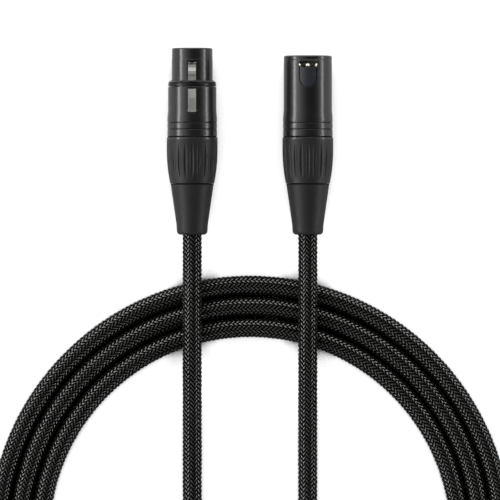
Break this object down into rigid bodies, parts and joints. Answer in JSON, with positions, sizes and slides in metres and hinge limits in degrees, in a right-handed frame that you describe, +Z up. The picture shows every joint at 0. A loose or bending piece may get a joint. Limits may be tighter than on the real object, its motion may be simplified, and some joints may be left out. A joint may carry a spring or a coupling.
{
  "type": "xlr cable coil",
  "caption": "Braided audio cable wound in a flat coil, whose two ends come out of its eye to a latching socket plug and a pin plug lying side by side.",
  "frame": {"origin": "on the floor, midway between the two plugs' axes, halfway along the socket plug from boot to nose", "axes": "+X from the socket plug to the pin plug, +Y along both plugs to their mating ends, +Z up, to the latch side"},
  "size_m": [0.2075, 0.2944, 0.02],
  "materials": {
    "braid": "black twill braid with a grey glint",
    "tie": "black hook-and-loop band",
    "shell": "smooth glossy black",
    "plate": "glossy black, slightly blue",
    "insert": "matte black",
    "contact": "gold plated",
    "latch": "satin",
    "spring_steel": "bright",
    "chuck": "moulded",
    "nut": "fine matte moulding",
    "boot": "soft matte",
    "sheath": "smooth",
    "red_wire": "smooth",
    "white_wire": "smooth",
    "drain_wire": "bare copper strands"
  },
  "bodies": {
    "root": {"cable_coil": "braid", "female_lead": "braid", "male_lead": "braid", "coil_tie": "tie", "female_shell": "shell", "female_collar_ring": "shell", "female_insert": "insert", "female_contact_1": "contact", "female_contact_2": "contact", "female_contact_3": "contact", "female_latch_pin": "spring_steel", "female_latch_spring": "spring_steel", "female_ground_spring": "spring_steel", "female_chuck": "chuck", "female_inner_sheath": "sheath", "female_conductor_hot": "red_wire", "female_conductor_cold": "white_wire", "female_drain_wire": "drain_wire", "male_shell": "shell", "male_window_plate": "plate", "male_insert": "insert", "male_pin_1": "contact", "male_pin_2": "contact", "male_pin_3": "contact", "male_ground_spring": "spring_steel", "male_chuck": "chuck", "male_inner_sheath": "sheath", "male_conductor_hot": "red_wire", "male_conductor_cold": "white_wire", "male_drain_wire": "drain_wire"},
    "female_latch": {"female_latch": "latch"},
    "female_boot": {"female_boot": "boot"},
    "female_nut": {"female_gland_nut": "nut"},
    "male_boot": {"male_boot": "boot"},
    "male_nut": {"male_gland_nut": "nut"}
  },
  "joints": [
    {"name": "female_latch_press", "type": "hinge", "parent": "root", "child": "female_latch", "pos_m": [-0.02275, 0.0119, 0.0155], "axis": [-1, 0, 0], "range_deg": [0, 5], "stiffness_Nm_per_rad": 0.1, "springref_deg": -5.73, "deforming": ["female_latch_spring"]},
    {"name": "female_boot_slide", "type": "slide", "parent": "root", "child": "female_boot", "axis": [0, -1, 0], "range_m": [0, 0.005]},
    {"name": "female_nut_turn", "type": "hinge", "parent": "female_boot", "child": "female_nut", "pos_m": [-0.02275, -0.0075, 0.01], "axis": [0, -1, 0], "range_deg": [0, 1440]},
    {"name": "male_boot_slide", "type": "slide", "parent": "root", "child": "male_boot", "axis": [0, -1, 0], "range_m": [0, 0.005]},
    {"name": "male_nut_turn", "type": "hinge", "parent": "male_boot", "child": "male_nut", "pos_m": [0.02275, -0.0075, 0.01], "axis": [0, -1, 0], "range_deg": [0, 1440]}
  ],
  "couplings": [
    {"joint": "female_boot_slide", "follows": "female_nut_turn", "m_per_rad": 0.00019894},
    {"joint": "male_boot_slide", "follows": "male_nut_turn", "m_per_rad": 0.00019894}
  ]
}
